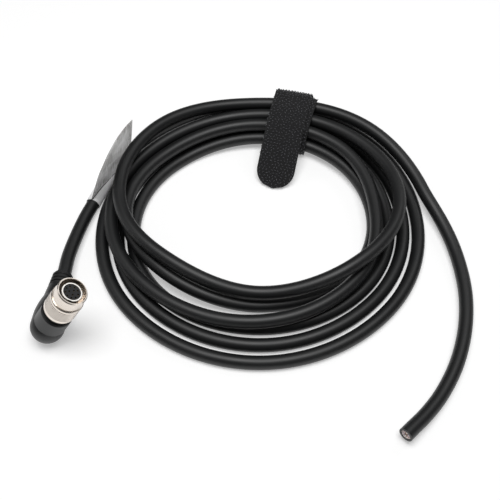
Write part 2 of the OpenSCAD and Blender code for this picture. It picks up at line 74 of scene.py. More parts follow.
# %% Stations of the coil
CABLE_D = 6.6
LANE_GAP = 0.45
PITCH = CABLE_D + LANE_GAP
FLAT = CABLE_D / 10  # a resting turn's centre lies lower by this, as its underside is flattened
OVAL = (59, 53.5)
COIL_AT = (88.4, 56.1)
STATION_STEP = 45
TIE_LIFT = 0.37  # the strap passes under these turns, so they stand off the table
LOOPS = [
    [[2.95, 0], [2.78, TIE_LIFT], [2.85, TIE_LIFT], [3, 0], [3.65, 0], [4.1, 0], [3.6, 0], [2.6, 0]],
    [[1.9, 0], [1.75, TIE_LIFT], [1.8, TIE_LIFT], [1.95, 0], [2.48, 0], [2.85, 0], [2.4, 0], [1.5, 0]],
    [[0.88, 0], [0.75, TIE_LIFT], [0.8, TIE_LIFT], [0.92, 0], [1.42, 0], [1.6, 0], [1.35, 0], [0.4, 0]],
    [[-0.15, 0], [-0.28, TIE_LIFT], [-0.24, TIE_LIFT], [-0.12, 0], [0.1, 0], [-0.1, 0], [0.3, 1], [0.95, 1]],
    [[0.4, 1], [0.25, 1.27], [0.3, 1.27], [-0.1, 1.1], [0.9, 1.1], [1.7, 1.05], [1.9, 1.05], [2, 1]],
    [[1.5, 1], [1.28, 1.27], [1.38, 1.7], [1.5, 2.1], [0.45, 2.2], [-0.4, 1.15], [-0.2, 1.95], [1.3, 2.15]],
    [[2.15, 2.1], [2.36, 1.42], [3.05, 1.55], [4.15, 0.5]]]
STATIONS = [[3.5, 0]] + [row for loop in LOOPS for row in loop] + [[7, 0]]
COIL_START = 32
COIL_END = 6 * 360 + 172
COIL_STEP = 5


def spline(a, b, c, d, t):
    """A point between b and c on the smooth curve through a, b, c and d."""
    return (2 * b + (c - a) * t + (2 * a - 5 * b + 4 * c - d) * t ** 2
            + (3 * b - a - 3 * c + d) * t ** 3) / 2


def coil_point(travel):
    """The cable's centre in millimetres, so many degrees clockwise from the coil's left side."""
    k = int(travel // STATION_STEP)
    t = travel / STATION_STEP - k
    near = [STATIONS[max(0, min(i, len(STATIONS) - 1))] for i in range(k - 1, k + 3)]
    lane = spline(*[s[0] for s in near], t) * PITCH
    level = max(0, spline(*[s[1] for s in near], t))
    turn = math.radians(180 - travel)
    return Vector((COIL_AT[0] + (OVAL[0] + lane) * math.cos(turn),
                   COIL_AT[1] + (OVAL[1] + lane) * math.sin(turn),
                   CABLE_D / 2 - FLAT + level * PITCH))


print(len(STATIONS), "stations,", round((COIL_END - COIL_START) / 360, 2), "turns")

# %% [markdown]
# ## The free stretches
# The free stretches run from the plug's strain relief to the coil, and from the coil to the cut end.
# A stiff cable leaves its relief straight, then sinks to the table over six or seven of its diameters.
# The elbow lies a little turned on the table and leans, so its two axes come first. All points are in mm.

# %% Free stretches and the whole route
HEADING = math.radians(5.2)
DIP = math.radians(5)
LEAN = math.radians(30)
PLUG_AT = Vector((-7.067, -10.414, 8.236))
ELBOW_AXIS = Vector((math.sin(HEADING) * math.cos(DIP), math.cos(HEADING) * math.cos(DIP), -math.sin(DIP)))
ELBOW_SIDE = Vector((math.cos(HEADING), -math.sin(HEADING), 0))
PLUG_AXIS = math.sin(LEAN) * ELBOW_SIDE + math.cos(LEAN) * ELBOW_SIDE.cross(ELBOW_AXIS)
RELIEF_TIP = 28.8
LEAD = [(-3.85, 30, 4.75), (-2.1, 41, 4.05), (0.7, 52.9, 3.75), (3.7, 62.1, 3.7), (8.5, 75.1, 3.7),
        (14.7, 87.8, 3.7)]
TAIL = [(180.9, 50.1, 4.6), (184.9, 34.6, 3.45), (186.4, 17.1, 3.35), (185.4, 2.1, 3.35),
        (181.9, -13.4, 3.35), (175.9, -28.4, 3.35), (167.9, -41.6, 3.4), (159.9, -51.2, 4.2),
        (153, -57.9, 5.3)]
ROUTE_STEP = 3


def smooth(points, step):
    """Points about step apart on the smooth curve through the given ones."""
    out = []
    last = len(points) - 1
    for i in range(last):
        a, b = points[max(i - 1, 0)], points[i]
        c, d = points[i + 1], points[min(i + 2, last)]
        parts = max(1, round((c - b).length / step))
        out += [spline(a, b, c, d, k / parts) for k in range(parts)]
    return out + [points[last]]


coil = [coil_point(travel) for travel in range(COIL_START, COIL_END + 1, COIL_STEP)]
relief_end = PLUG_AT + RELIEF_TIP * ELBOW_AXIS
straight_out = relief_end + CABLE_D / 2 * ELBOW_AXIS
knots = [relief_end, straight_out] + [Vector(p) for p in LEAD] + coil + [Vector(p) for p in TAIL]
route = [p * MM for p in smooth(knots, ROUTE_STEP)]

# %% [markdown]
# ## Small helpers
# Colours are picked as sRGB hex, as a maker's colour card gives them, and turned to linear light once, here.
# One function adds a shader or geometry node: attributes by name, then sockets by name or number.

# %% Colour, node and mesh helpers


def linear(hex_colour):
    """An sRGB hex colour as linear red, green, blue and alpha."""
    values = [int(hex_colour[i:i + 2], 16) / 255 for i in (1, 3, 5)]
    return [v / 12.92 if v < 0.04045 else ((v + 0.055) / 1.055) ** 2.4 for v in values] + [1]


def add(tree, kind, sockets=None, **settings):
    """Adds a node, sets its attributes, and fills or links its input sockets."""
    made = tree.nodes.new(kind)
    for name, value in settings.items():
        setattr(made, name, value)
    for name, value in (sockets or {}).items():
        if isinstance(value, bpy.types.NodeSocket):
            tree.links.new(value, made.inputs[name])
        else:
            made.inputs[name].default_value = value
    return made


def finish_of(name, sockets):
    """A new material with a Principled shader. Gives the material, its tree and the shader."""
    material = bpy.data.materials.new(name)
    material.use_nodes = True
    tree = material.node_tree
    shader = tree.nodes["Principled BSDF"]
    for socket, value in sockets.items():
        shader.inputs[socket].default_value = value
    return material, tree, shader


def new_piece(name, vertices, faces, materials, uvs=None, smooth_faces=True):
    """A mesh piece at the origin, with its corners' UVs where they are given."""
    mesh = bpy.data.meshes.new(name)
    mesh.from_pydata([tuple(v) for v in vertices], [], faces)
    for material in materials:
        mesh.materials.append(material)
    if uvs:
        layer = mesh.uv_layers.new(name="surface")
        for loop in mesh.loops:
            layer.data[loop.index].uv = uvs[loop.vertex_index]
    mesh.polygons.foreach_set("use_smooth", [smooth_faces] * len(mesh.polygons))
    piece = bpy.data.objects.new(name, mesh)
    bpy.context.scene.collection.objects.link(piece)
    return piece


print("middle grey is", round(linear("#808080")[0], 3), "in linear light")

# %% [markdown]
# ## The jacket
# The jacket is black plasticised PVC, extruded: smooth enough for a soft streak of light along each turn,
# but with a faint orange-peel of about half a millimetre that breaks the streak up.
# The roughness wanders over centimetres, where hands have polished the cable and where they have not.
# A noise's scale is how many of its cells go into a metre, so both come from a size on the real cable.

# %% Finish: extruded PVC
PEEL_PER_M = 1800  # a cell of 0.55 mm
WANDER_PER_M = 45  # a cell of 22 mm
jacket, tree, shader = finish_of("extruded_black_pvc", {"IOR": 1.53, "Specular IOR Level": 0.5})
place = add(tree, "ShaderNodeTexCoord").outputs["Object"]
peel = add(tree, "ShaderNodeTexNoise", {"Vector": place, "Scale": PEEL_PER_M, "Detail": 2})
wander = add(tree, "ShaderNodeTexNoise", {"Vector": place, "Scale": WANDER_PER_M, "Detail": 3})
rough = add(tree, "ShaderNodeMapRange", {"Value": wander.outputs["Fac"], "To Min": 0.38, "To Max": 0.54})
tint = add(tree, "ShaderNodeMixRGB", {"Fac": wander.outputs["Fac"], "Color1": linear("#0c0d0e"),
                                      "Color2": linear("#141516")})
bump = add(tree, "ShaderNodeBump", {"Height": peel.outputs["Fac"], "Strength": 0.12, "Distance": 0.00008})
tree.links.new(tint.outputs["Color"], shader.inputs["Base Color"])
tree.links.new(rough.outputs["Result"], shader.inputs["Roughness"])
tree.links.new(bump.outputs["Normal"], shader.inputs["Normal"])
print("finish", jacket.name)

# %% [markdown]
# ## The cable
# A cable is one round profile carried along one path, which is what Geometry Nodes' Curve to Mesh does.
# The tree takes the diameter and the number of sides as inputs, so the same tree could draw any cord.
# Two small helpers come first: one names a tree's inputs, the other turns its result into a plain mesh.

# %% Helpers for Geometry Nodes


def socket_in(tree, name, kind, value=None):
    """A named input on a Geometry Nodes group."""
    made = tree.interface.new_socket(name, in_out="INPUT", socket_type=kind)
    if value is not None:
        made.default_value = value
    return made


def bake(piece, name):
    """The evaluated piece as a plain mesh object without empty slots. The piece it came from goes."""
    graph = bpy.context.evaluated_depsgraph_get()
    mesh = bpy.data.meshes.new_from_object(piece.evaluated_get(graph))
    mesh.name = name
    for slot in reversed(range(len(mesh.materials))):
        if mesh.materials[slot] is None:
            mesh.materials.pop(index=slot)
    bpy.data.objects.remove(piece)
    out = bpy.data.objects.new(name, mesh)
    bpy.context.scene.collection.objects.link(out)
    return out


def inputs_of(modifier):
    """The identifiers of a modifier's inputs, by the names they have in its tree."""
    return {s.name: s.identifier for s in modifier.node_group.interface.items_tree if s.in_out == "INPUT"}


print("helpers ready")

# %% [markdown]
# Twenty sides are enough for a round look at this distance, because the faces are shaded smooth.
# Where a turn rests on the table the soft jacket flattens a little, and those points are set on the floor.

# %% The cable, by Curve to Mesh
CABLE_SIDES = 20


def cord_tree():
    """Curve to Mesh along a path, with a round profile of a given diameter."""
    tree = bpy.data.node_groups.new("cord_profile", "GeometryNodeTree")
    socket_in(tree, "Path", "NodeSocketGeometry")
    socket_in(tree, "Diameter", "NodeSocketFloat", CABLE_D * MM)
    socket_in(tree, "Sides", "NodeSocketInt", CABLE_SIDES)
    socket_in(tree, "Finish", "NodeSocketMaterial")
    tree.interface.new_socket("Cord", in_out="OUTPUT", socket_type="NodeSocketGeometry")
    given = tree.nodes.new("NodeGroupInput").outputs
    radius = add(tree, "ShaderNodeMath", {0: given["Diameter"], 1: 0.5}, operation="MULTIPLY")
    profile = add(tree, "GeometryNodeCurvePrimitiveCircle",
                  {"Resolution": given["Sides"], "Radius": radius.outputs[0]})
    swept = add(tree, "GeometryNodeCurveToMesh", {"Curve": given["Path"],
                                                  "Profile Curve": profile.outputs["Curve"],
                                                  "Fill Caps": True})
    shaded = add(tree, "GeometryNodeSetShadeSmooth", {"Geometry": swept.outputs["Mesh"]})
    real = add(tree, "GeometryNodeRealizeInstances", {"Geometry": shaded.outputs["Geometry"]})
    done = add(tree, "GeometryNodeSetMaterial", {"Geometry": real.outputs["Geometry"],
                                                 "Material": given["Finish"]})
    add(tree, "NodeGroupOutput", {0: done.outputs["Geometry"]})
    return tree


path = bpy.data.curves.new("cable_path", "CURVE")
path.dimensions = "3D"
line = path.splines.new("POLY")
line.points.add(len(route) - 1)
for point, where in zip(line.points, route):
    point.co = (*where, 1)
path_object = bpy.data.objects.new("cable_path", path)
bpy.context.scene.collection.objects.link(path_object)
sweep = path_object.modifiers.new("sweep", "NODES")
sweep.node_group = cord_tree()
for name, value in {"Diameter": CABLE_D * MM, "Sides": CABLE_SIDES, "Finish": jacket}.items():
    sweep[inputs_of(sweep)[name]] = value
cable = bake(path_object, "cable")
for vertex in cable.data.vertices:
    vertex.co.z = max(vertex.co.z, TABLE_GAP * MM)
print("cable faces", len(cable.data.polygons))

# %% [markdown]
# ## The tie
# The tie is a hook-and-loop strap, 20 mm wide: it goes once round the turns, climbs over its own hidden end,
# and leaves over the inside of the coil as a free tongue with a round tip that droops to the table.
# It stands square to the coil's oval at one place, so the oval's normal there is its section's first axis.

# %% Where the tie stands and what it holds
TIE_ANGLE = 75
TIE_W = 20
tie_place = math.radians(TIE_ANGLE)
tie_turn = math.atan2(math.sin(tie_place) / OVAL[1], math.cos(tie_place) / OVAL[0])
tie_at = Vector((COIL_AT[0] + OVAL[0] * math.cos(tie_place),
                 COIL_AT[1] + OVAL[1] * math.sin(tie_place), 0))
tie_out = Vector((math.cos(tie_turn), math.sin(tie_turn), 0))
tie_side = Vector((-math.sin(tie_turn), math.cos(tie_turn), 0))
tie_reach = math.degrees(math.asin(TIE_W / 2 / OVAL[1]))
held = []
for k in range(len(LOOPS)):
    for off in (-1, -0.5, 0, 0.5, 1):
        p = coil_point(180 - TIE_ANGLE + off * tie_reach + 360 * k)
        held.append(Vector(((p - tie_at).dot(tie_out), p.z)))
print("turns under the tie", len(LOOPS), "looked at in", len(held), "places")

# %% [markdown]
# The strap's section is found as a tailor would find it: for every direction round the bundle, the turn that
# lies farthest that way carries the strap. It is walked in degrees, where 0 is outwards and 90 is up: from
# 60, over the top, down the inside, under the turns and up the outer side, where it climbs by one strap's
# thickness, and on over its own start. The tongue then leaves as a flat arc, at the slope at which its tip
# comes down to the table.

# %% The strap's section
TIE_GAP = 0.35
TIE_T = 1.5
LAP_GAP = 0.1
STRAP_START = 60
CLIMB_FROM = 310
CLIMB_OVER = 90
TOP_TURN = 110
TOP_SHARE = 0.95  # how much of the strap's rise counts as height there
TONGUE_LEN = 35
TONGUE_BEND = 12
TONGUE_STEPS = 24


def facing(turn):
    """The direction at so many degrees, in the strap's own plane."""
    return Vector((math.cos(math.radians(turn)), math.sin(math.radians(turn))))


def farthest(turn):
    """The held turn that reaches farthest in a direction."""
    return max(held, key=lambda h: h.dot(facing(turn)))


def strap_rise(turn):
    """How far the strap's inner face stands off the centre of the turn that carries it."""
    climb = (1 - math.cos(math.pi * min(max((turn - CLIMB_FROM) / CLIMB_OVER, 0), 1))) / 2
    return CABLE_D / 2 + TIE_GAP + (TIE_T + LAP_GAP) * climb


leave_z = farthest(TOP_TURN).y + (CABLE_D / 2 + TIE_GAP + TIE_T + LAP_GAP) * TOP_SHARE
LEAVE = 450 + math.degrees(math.asin(leave_z / TONGUE_LEN)) - TONGUE_BEND / 2
tongue_r = TONGUE_LEN / math.radians(TONGUE_BEND)
tongue_centre = farthest(LEAVE) + (strap_rise(LEAVE) - tongue_r) * facing(LEAVE)


def strap_point(turn, depth):
    """A point of the strap's section, so deep from its inner face."""
    if turn > LEAVE:
        return tongue_centre + (tongue_r + depth) * facing(turn)
    return farthest(turn) + (strap_rise(turn) + depth) * facing(turn)


turns = ([STRAP_START + k for k in range(int(LEAVE) - STRAP_START + 1)]
         + [LEAVE + 0.01 + TONGUE_BEND * k / TONGUE_STEPS for k in range(TONGUE_STEPS + 1)])
section = [(strap_point(turn, 0), strap_point(turn, TIE_T)) for turn in turns]
lengths = [0]
for (a, _), (b, _) in zip(section, section[1:]):
    lengths.append(lengths[-1] + (b - a).length)
STRAP_LENGTH = lengths[-1]
print("strap length", round(STRAP_LENGTH, 1), "mm")

# %% [markdown]
# ## The tie's finish
# The strap is nylon, woven and brushed. Its inner face carries hooks and its outer face a low nap of loops.
# Under the nap the ground is almost black and quite matt, with a pebbly grain of thread crossings, painted
# lighter on its raised parts.
# The pattern is on the strap's own UV map, in millimetres, so it follows the bend. The crossings are drawn at
# 0.55 mm, about twice the real thread, so that they show. The fuzz between them has cells of 0.2 mm.

# %% Finish: brushed nylon tape
CROSSING_MM = 0.55
FUZZ_PER_MM = 5
tape, tree, shader = finish_of("brushed_nylon_tape", {"IOR": 1.53, "Roughness": 0.85, "Sheen Weight": 0.05,
                                                      "Sheen Roughness": 0.5})
surface = add(tree, "ShaderNodeUVMap", uv_map="surface").outputs["UV"]
threads = add(tree, "ShaderNodeTexVoronoi", {"Vector": surface, "Scale": 1 / CROSSING_MM})
fuzz = add(tree, "ShaderNodeTexNoise", {"Vector": surface, "Scale": FUZZ_PER_MM, "Detail": 4,
                                        "Roughness": 0.7})
height = add(tree, "ShaderNodeMath", {0: threads.outputs["Distance"], 1: fuzz.outputs["Fac"]},
             operation="ADD")
# painted highlight and shade: the ground's colour is lighter where the grain stands high and darker in its
# hollows
raised_highlight = add(tree, "ShaderNodeMapRange", {"Value": height.outputs[0], "From Min": 0.5, "From Max": 1.3})
tint = add(tree, "ShaderNodeMixRGB", {"Fac": raised_highlight.outputs["Result"], "Color1": linear("#060607"),
                                      "Color2": linear("#101012")})
bump = add(tree, "ShaderNodeBump", {"Height": height.outputs[0], "Strength": 0.7, "Distance": 0.0004})
tree.links.new(tint.outputs["Color"], shader.inputs["Base Color"])
tree.links.new(bump.outputs["Normal"], shader.inputs["Normal"])
print("finish", tape.name)

# %% [markdown]
# ## The strap
# The strap is a closed strip of faces: an inner and an outer skin on one grid, joined round the edge.
# Near the tip its half width follows a circle, which gives the round end. At its very edges the strap thins
# to half, as heat-cut tape does, which keeps it from looking like cut card.
# A hand never closes a tie quite square, so its hidden start lies 3 mm to one side and shows past the tongue.

# %% The strap's points
COLUMNS = 16
TIE_SKEW = 3
EDGE_FROM = 0.93
EDGE_WIDTH = 0.07
EDGE_THINNING = 0.5
TIP_HALF = 0.4
OUTER_UV = 40  # the outer skin's place in the UV map, clear of the inner skin's
SQUARE_TURN = 400
square_from = lengths[SQUARE_TURN - STRAP_START]


def strap_place(q, across):
    """A point of the strap in the row frame, in metres, from its section point and its place across."""
    return (tie_at + q.x * tie_out + across * tie_side + Vector((0, 0, max(q.y, TABLE_GAP)))) * MM


strap_vertices, strap_uvs = [], []
for (inner, outer), along in zip(section, lengths):
    left = STRAP_LENGTH - along
    skew = -TIE_SKEW * (1 - min(along / square_from, 1))
    half = TIE_W / 2
    if left < half:
        half = max(TIP_HALF, math.sqrt(half ** 2 - (half - left) ** 2))
    for face, q in ((0, inner), (1, outer)):
        for k in range(COLUMNS + 1):
            share = k / COLUMNS * 2 - 1
            edge = 1 - EDGE_THINNING * max(0, abs(share) - EDGE_FROM) / EDGE_WIDTH
            middle = (inner + outer) / 2
            strap_vertices.append(strap_place(middle + (q - middle) * edge, share * half + skew))
            strap_uvs.append((along, share * half + face * OUTER_UV))
print("strap points", len(strap_vertices))

# %% [markdown]
# The outer skin's faces that will carry the nap get a mark, a true-or-false attribute that Geometry Nodes can
# read. Faces low under the bundle stay without, because loops there would poke through the table.

# %% The band
NAP_FROM = 1.5
ROW = 2 * (COLUMNS + 1)
strap_faces, napped = [], []
for i in range(len(section) - 1):
    for k in range(COLUMNS):
        a = i * ROW + k
        b = a + COLUMNS + 1
        strap_faces.append((a, a + ROW, a + ROW + 1, a + 1))
        if section[i][1].y > NAP_FROM:
            napped.append(len(strap_faces))
        strap_faces.append((b, b + 1, b + ROW + 1, b + ROW))
    for a, b, turn_round in ((i * ROW, i * ROW + COLUMNS + 1, False),
                             (i * ROW + COLUMNS, i * ROW + ROW - 1, True)):
        quad = (a, b, b + ROW, a + ROW)
        strap_faces.append(tuple(reversed(quad)) if turn_round else quad)
for start, turn_round in ((0, True), ((len(section) - 1) * ROW, False)):
    for k in range(COLUMNS):
        a = start + k
        quad = (a, a + 1, a + COLUMNS + 2, a + COLUMNS + 1)
        strap_faces.append(tuple(reversed(quad)) if turn_round else quad)
band = new_piece("tie_band", strap_vertices, strap_faces, [tape], strap_uvs)
nap = band.data.attributes.new("nap", "BOOLEAN", "FACE")
for index in napped:
    nap.data[index].value = True
print("band faces", len(band.data.polygons), "of which napped", len(napped))

# %% [markdown]
# ## The nap
# The loops are drawn nylon thread, smooth and a little shiny, so each one catches the light as a speck.
# Their colour runs from near black up to a light grey, far paler than the black tape, as a painted glint: it
# stands in for the light each loop catches, more on some loops than on others.

# %% Finish: nylon thread
thread, tree, shader = finish_of("nylon_loop_thread", {"IOR": 1.53, "Roughness": 0.32})
place = add(tree, "ShaderNodeTexCoord").outputs["Object"]
glint_patch = add(tree, "ShaderNodeTexNoise", {"Vector": place, "Scale": 900, "Detail": 2})
# painted glint: the loops' light grey stands for the light they catch, on thread as black as the tape
tint = add(tree, "ShaderNodeMixRGB", {"Fac": glint_patch.outputs["Fac"], "Color1": linear("#1b1b1d"),
                                      "Color2": linear("#77777c")})
tree.links.new(tint.outputs["Color"], shader.inputs["Base Color"])
print("finish", thread.name)

# %% [markdown]
# The nap of the loop side is real geometry: about eight hundred small arcs of thread, strewn over the outer
# skin with a least distance between them, stood up along the surface's normal and turned at random about it.
# The spacing, the loop's radius and the thread's are inputs of the tree, in metres. Real loops are finer and
# closer: these are drawn about three times too thick, at 0.34 mm, and 1.35 mm apart, so that they show.
# The loops are made real and get their thread's finish before they join the band, which keeps its own.

# %% Loop pile, by Geometry Nodes
PILE = {"Spacing": 1.35 * MM, "Loop Radius": 0.42 * MM, "Thread Radius": 0.17 * MM, "Seed": 7,
        "Finish": thread}
DENSEST = 3e6  # points to a square metre, far more than the spacing lets stand


def pile_tree():
    """Small loops of thread on the faces that carry the attribute nap."""
    tree = bpy.data.node_groups.new("loop_pile", "GeometryNodeTree")
    socket_in(tree, "Band", "NodeSocketGeometry")
    for name, kind in (("Spacing", "NodeSocketFloat"), ("Loop Radius", "NodeSocketFloat"),
                       ("Thread Radius", "NodeSocketFloat"), ("Seed", "NodeSocketInt"),
                       ("Finish", "NodeSocketMaterial")):
        socket_in(tree, name, kind)
    tree.interface.new_socket("Tie", in_out="OUTPUT", socket_type="NodeSocketGeometry")
    given = tree.nodes.new("NodeGroupInput").outputs
    marked = add(tree, "GeometryNodeInputNamedAttribute", {"Name": "nap"}, data_type="BOOLEAN")
    is_napped = [out for out in marked.outputs if out.enabled and out.name == "Attribute"][0]
    strewn = add(tree, "GeometryNodeDistributePointsOnFaces",
                 {"Mesh": given["Band"], "Selection": is_napped,
                  "Distance Min": given["Spacing"], "Density Max": DENSEST, "Seed": given["Seed"]},
                 distribute_method="POISSON")
    arc = add(tree, "GeometryNodeCurveArc", {"Resolution": 6, "Radius": given["Loop Radius"],
                                             "Start Angle": 0, "Sweep Angle": math.pi})
    upright = add(tree, "GeometryNodeTransform", {"Geometry": arc.outputs["Curve"],
                                                  "Rotation": (math.pi / 2, 0, 0)})
    round_thread = add(tree, "GeometryNodeCurvePrimitiveCircle", {"Resolution": 4,
                                                                  "Radius": given["Thread Radius"]})
    loop = add(tree, "GeometryNodeCurveToMesh", {"Curve": upright.outputs["Geometry"],
                                                 "Profile Curve": round_thread.outputs["Curve"]})
    stood = add(tree, "GeometryNodeInstanceOnPoints", {"Points": strewn.outputs["Points"],
                                                       "Instance": loop.outputs["Mesh"],
                                                       "Rotation": strewn.outputs["Rotation"]})
    spin = add(tree, "FunctionNodeRandomValue", {2: 0.0, 3: 2 * math.pi, "Seed": given["Seed"]},
               data_type="FLOAT")
    about = add(tree, "ShaderNodeCombineXYZ", {"Z": spin.outputs[1]})
    turned = add(tree, "GeometryNodeRotateInstances", {"Instances": stood.outputs["Instances"],
                                                       "Rotation": about.outputs["Vector"],
                                                       "Local Space": True})
    real = add(tree, "GeometryNodeRealizeInstances", {"Geometry": turned.outputs["Instances"]})
    finished = add(tree, "GeometryNodeSetMaterial", {"Geometry": real.outputs["Geometry"],
                                                     "Material": given["Finish"]})
    joined = tree.nodes.new("GeometryNodeJoinGeometry")
    tree.links.new(finished.outputs["Geometry"], joined.inputs[0])
    tree.links.new(given["Band"], joined.inputs[0])
    add(tree, "NodeGroupOutput", {0: joined.outputs["Geometry"]})
    return tree


pile = band.modifiers.new("pile", "NODES")
pile.node_group = pile_tree()
for name, value in PILE.items():
    pile[inputs_of(pile)[name]] = value
strap = bake(band, "tie_strap")
print("strap faces", len(strap.data.polygons), "in", [material.name for material in strap.data.materials],
      "used", sorted({face.material_index for face in strap.data.polygons}))

# %% [markdown]
# ## The label's finishes
# The label is one die-cut polyester film: white where it goes round the cable, and frosted where its two ends
# close on each other as a flag. Nothing is printed on it. The white part is plain and satin, and shows only a
# faint unevenness of its glue, in cells of 3 mm.

# %% Finish: white polyester film
white_film, tree, shader = finish_of("white_polyester_film", {"IOR": 1.57, "Roughness": 0.42})
grain = add(tree, "ShaderNodeTexNoise", {"Vector": add(tree, "ShaderNodeTexCoord").outputs["Object"],
                                         "Scale": 300, "Detail": 3})
tint = add(tree, "ShaderNodeMixRGB", {"Fac": grain.outputs["Fac"], "Color1": linear("#f6f6f8"),
                                      "Color2": linear("#ffffff")})
bump = add(tree, "ShaderNodeBump", {"Height": grain.outputs["Fac"], "Strength": 0.15, "Distance": 0.0001})
tree.links.new(tint.outputs["Color"], shader.inputs["Base Color"])
tree.links.new(bump.outputs["Normal"], shader.inputs["Normal"])
print("finish", white_film.name)

# %% [markdown]
# The flag's film is frosted, so what is behind it shows through as a grey veil. Its two layers never stick
# evenly, which leaves upright streaks about 0.45 mm wide and 11 mm long, and patches of about a centimetre.
# The streaks are a noise stretched by a Mapping node, on the film's own UV map in millimetres.

# %% Finish: frosted grey film
STREAKS_PER_MM = (2.2, 0.09, 1)
PATCHES_PER_MM = 0.09
grey_film, tree, shader = finish_of("frosted_grey_film", {"IOR": 1.57, "Roughness": 0.5, "Alpha": 0.56})
surface = add(tree, "ShaderNodeUVMap", uv_map="surface").outputs["UV"]
streaks = add(tree, "ShaderNodeMapping", {"Vector": surface, "Scale": STREAKS_PER_MM})
cloud = add(tree, "ShaderNodeTexNoise", {"Vector": streaks.outputs["Vector"], "Scale": 1, "Detail": 4,
                                         "Roughness": 0.7})
drift = add(tree, "ShaderNodeTexNoise", {"Vector": surface, "Scale": PATCHES_PER_MM, "Detail": 1})
both = add(tree, "ShaderNodeMath", {0: cloud.outputs["Fac"], 1: drift.outputs["Fac"]}, operation="ADD")
share = add(tree, "ShaderNodeMapRange", {"Value": both.outputs[0], "From Min": 0.84, "From Max": 1.14})
tint = add(tree, "ShaderNodeMixRGB", {"Fac": share.outputs["Result"], "Color1": linear("#7a746c"),
                                      "Color2": linear("#ffffff")})
bump = add(tree, "ShaderNodeBump", {"Height": cloud.outputs["Fac"], "Strength": 0.2, "Distance": 0.0002})
tree.links.new(tint.outputs["Color"], shader.inputs["Base Color"])
tree.links.new(bump.outputs["Normal"], shader.inputs["Normal"])
print("finish", grey_film.name)

# %% [markdown]
# ## The label
# The film's section is a ring round the cable that opens into the flag. Rows of that section are laid along
# the cable's own curve, so the wrap hugs it. Along the label the ring is turned more and more about the
# cable, by 62 degrees at its far end, as in a film that was stuck on askew. The flag's top leans 10 mm to the
# side at the plug's end and 6 mm at the other, and its face bows slightly between.

# %% The label's section
LABEL_GAP = 0.15
LABEL_T = 0.25
LABEL_H = 27
LABEL_SPAN = (0.05, 1.3)
LABEL_TURNS = [84 - 12 * k for k in range(28)]
LEANS = (10, 6)
LABEL_TWIST = 62
LABEL_ROWS = 20
FLAG_STEPS = 14
FLAG_WAVE = 0.5
FLAG_BOW = 0.15
label_knots = [Vector(p) for p in LEAD[2:]] + coil[:2]


def label_place(t):
    """The cable's centre and its sideways and upwards directions at t, which goes up by 0.5 at each knot."""
    k = min(int(t * 2), 2)
    s = t * 2 - k
    centre = spline(*label_knots[k:k + 4], s)
    ahead = (spline(*label_knots[k:k + 4], s + 0.01) - centre).normalized()
    side = ahead.cross(Vector((0, 0, 1))).normalized()
    return centre, side, side.cross(ahead)


def label_section(t, depth):
    """One row of the film's points, from the edge of its wrap to the top of its flag."""
    centre, side, up = label_place(t)
    r = CABLE_D / 2 + LABEL_GAP
    share = (t - LABEL_SPAN[0]) / (LABEL_SPAN[1] - LABEL_SPAN[0])
    lean = LEANS[0] + (LEANS[1] - LEANS[0]) * share
    twist = LABEL_TWIST * share
    turn = math.radians(twist)
    root = (r + 2 * LABEL_T) * (math.cos(turn) * up + math.sin(turn) * side)
    top = (r + 2 * LABEL_T + LABEL_H) * up + lean * side
    out = [centre + (r + depth) * (math.cos(math.radians(a - twist)) * side
                                   + math.sin(math.radians(a - twist)) * up) for a in LABEL_TURNS]
    for level in range(FLAG_STEPS + 1):
        h = level / FLAG_STEPS
        curl = FLAG_WAVE * math.sin(h * 5 + t * 3) * h * (1 - h) - FLAG_BOW * lean * h * (1 - h)
        out.append(centre + root.lerp(top, h) + (curl + LABEL_T / 2 - depth) * side)
    return out


label_ts = [LABEL_SPAN[0] + (LABEL_SPAN[1] - LABEL_SPAN[0]) * k / LABEL_ROWS for k in range(LABEL_ROWS + 1)]
rows = [[label_section(t, depth) for t in label_ts] for depth in (0, LABEL_T)]
columns = len(rows[0][0])
label_centres = [label_place(t)[0] for t in label_ts]
label_length = sum((b - a).length for a, b in zip(label_centres, label_centres[1:]))
print("label", round(label_length, 1), "mm along the cable,", columns, "points to a row")

# %% [markdown]
# The film's two faces are two grids of the same points, one film's thickness apart, and a border of narrow
# faces closes them all round, so that it is a solid sheet and not a paper-thin one.
# The UV map is in millimetres: along the cable one way, and up the flag the other.

# %% The label's film
ROW_MM = 1.6
count = (LABEL_ROWS + 1) * columns
film_vertices = [Vector((p.x, p.y, max(p.z, TABLE_GAP))) * MM for face in rows for row in face for p in row]
film_faces = []
for i in range(LABEL_ROWS):
    for k in range(columns - 1):
        a = i * columns + k
        film_faces.append((a, a + 1, a + columns + 1, a + columns))
        film_faces.append(tuple(count + v for v in (a, a + columns, a + columns + 1, a + 1)))
border = (list(range(columns - 1)) + [i * columns + columns - 1 for i in range(LABEL_ROWS)]
          + [LABEL_ROWS * columns + k for k in range(columns - 1, 0, -1)]
          + [i * columns for i in range(LABEL_ROWS, 0, -1)])
for a, b in zip(border, border[1:] + border[:1]):
    film_faces.append((b, a, count + a, count + b))
film_uvs = [(row * ROW_MM, max(0, k - len(LABEL_TURNS)) * LABEL_H / FLAG_STEPS)
            for face in rows for row in range(LABEL_ROWS + 1) for k in range(columns)]
label = new_piece("flag_film", film_vertices, film_faces, [white_film, grey_film], film_uvs)
for face in label.data.polygons:
    if all(v % columns >= len(LABEL_TURNS) for v in face.vertices):
        face.material_index = 1
print("label faces", len(label.data.polygons))

# %% [markdown]
# ## Metal of the plug
# The coupling sleeve and the barrel are turned brass with a satin nickel plate, which is a little warmer than
# chrome. Turning leaves fine rings round the axis, so the highlight spreads along the sleeve. They are drawn
# as a noise that only changes along the plug's axis. A lathe's real rings are about 0.1 mm apart; these are
# 0.5 and 0.3 mm apart, so that they show. Handling leaves smudges of 6 or 7 mm in the colour and the gloss.

# %% Finish: turned, nickel-plated brass
SMUDGES_PER_M = 150
plug_frame = Matrix.Translation(PLUG_AT * MM) @ PLUG_AXIS.to_track_quat("Z", "Y").to_matrix().to_4x4()


